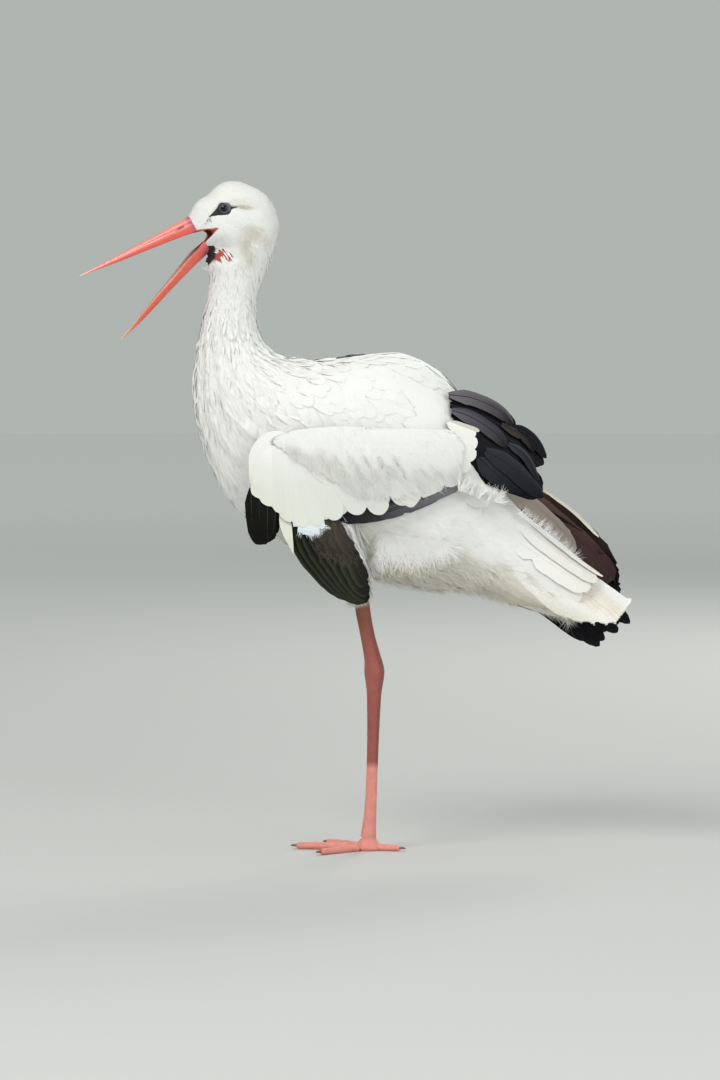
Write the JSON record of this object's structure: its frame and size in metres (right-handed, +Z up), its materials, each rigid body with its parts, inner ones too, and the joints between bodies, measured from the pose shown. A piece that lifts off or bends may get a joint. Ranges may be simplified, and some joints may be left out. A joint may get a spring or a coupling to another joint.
{
  "type": "white stork",
  "caption": "Life-size white stork standing on its left leg, bill open, the right leg tucked up, the left wing drooped and the right wing folded.",
  "frame": {"origin": "on the floor under the sole of the standing (left) foot", "axes": "+Z up; the bird faces -X; its left side, the side with the drooped wing, is -Y"},
  "size_m": [0.7296, 0.2246, 0.885],
  "materials": {
    "white_plumage": "matte, feathered",
    "black_plumage": "satin, feathered",
    "brown_plumage": "satin, feathered",
    "bill": "satin horn",
    "eye": "wet gloss",
    "leg_skin": "scaled, satin",
    "claw": "satin horn"
  },
  "bodies": {
    "root": {"head": "white_plumage", "neck": "white_plumage", "trunk": "white_plumage", "tail": "white_plumage", "mantle_left": "white_plumage", "mantle_right": "white_plumage", "coverts_left": "white_plumage", "coverts_right": "white_plumage", "thigh_left": "white_plumage", "thigh_right": "white_plumage", "tertials_left": "black_plumage", "secondaries_left": "black_plumage", "primaries_left": "black_plumage", "alula_left": "black_plumage", "tertials_right": "black_plumage", "primaries_right": "black_plumage", "secondaries_right": "brown_plumage", "bill_upper": "bill", "bill_lower": "bill", "eye_left": "eye", "eye_right": "eye", "shank_left": "leg_skin", "shank_right": "leg_skin", "tarsus_left": "leg_skin", "tarsus_right": "leg_skin", "foot_left": "leg_skin", "toe_left_middle": "leg_skin", "toe_left_inner": "leg_skin", "toe_left_outer": "leg_skin", "toe_left_hind": "leg_skin", "toe_right_middle": "leg_skin", "toe_right_inner": "leg_skin", "toe_right_outer": "leg_skin", "toe_right_hind": "leg_skin", "claw_left_middle": "claw", "claw_left_inner": "claw", "claw_left_outer": "claw", "claw_left_hind": "claw", "claw_right_middle": "claw", "claw_right_inner": "claw", "claw_right_outer": "claw", "claw_right_hind": "claw"}
  },
  "joints": []
}
